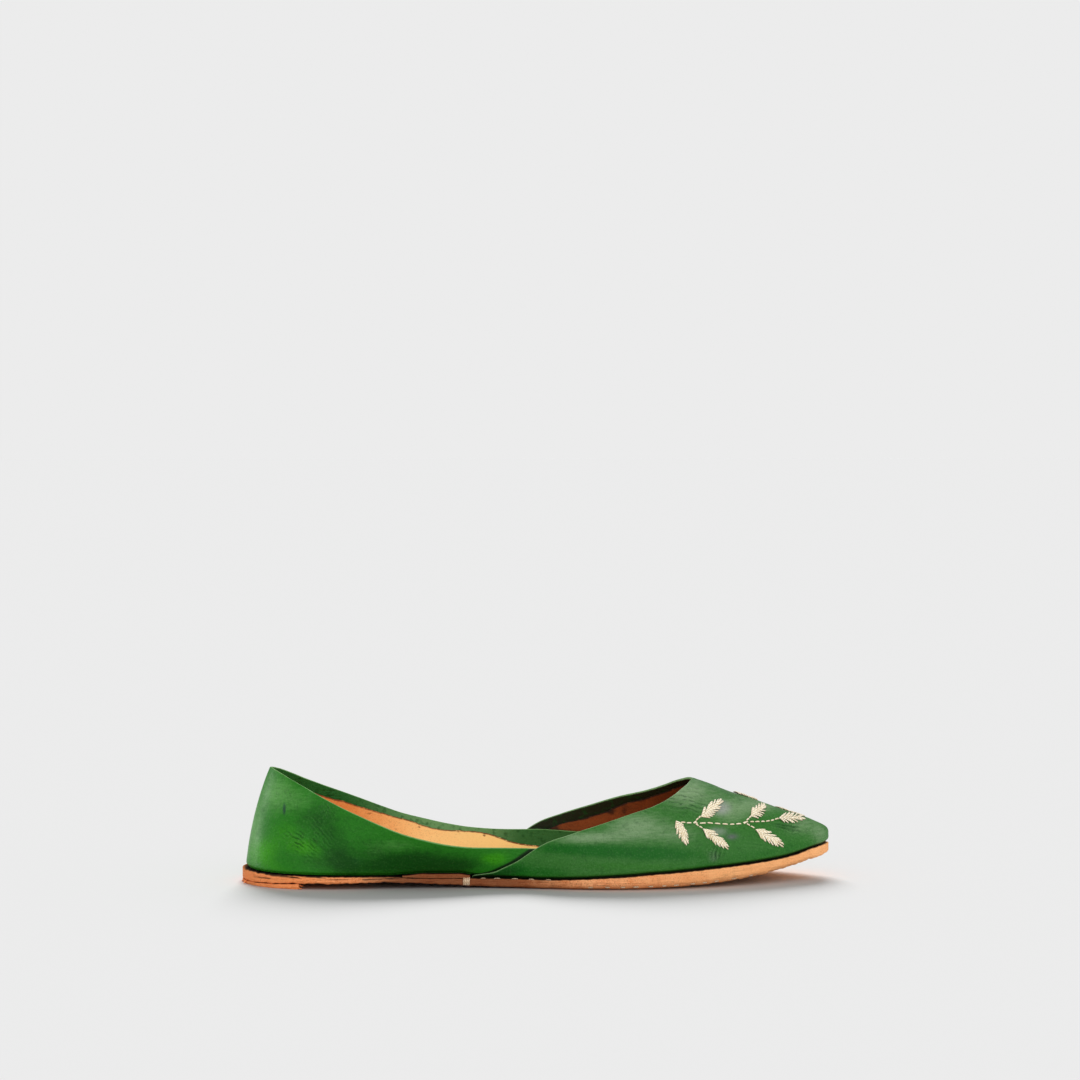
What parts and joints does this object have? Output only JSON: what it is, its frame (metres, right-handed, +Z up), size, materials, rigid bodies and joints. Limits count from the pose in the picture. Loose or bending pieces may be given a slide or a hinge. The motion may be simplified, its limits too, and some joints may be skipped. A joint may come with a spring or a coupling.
{
  "type": "khussa",
  "caption": "Flat leather slip-on with a closed pointed vamp, an open collar and a low heel quarter on a thin leather sole.",
  "frame": {"origin": "on the floor under the middle of the shoe's length, on its plane of symmetry", "axes": "+X from the heel to the toe, +Y across the shoe, +Z up from the floor"},
  "size_m": [0.25, 0.074, 0.0482],
  "materials": {
    "sole_leather": "matte",
    "lining_leather": "matte",
    "quarter_leather": "burnished satin",
    "vamp_leather": "burnished satin",
    "thread": "soft sheen"
  },
  "bodies": {
    "root": {"outsole": "sole_leather", "heel_lift": "sole_leather", "waist_layer": "sole_leather", "insole": "lining_leather", "quarter": "quarter_leather", "vamp": "vamp_leather"}
  },
  "joints": []
}
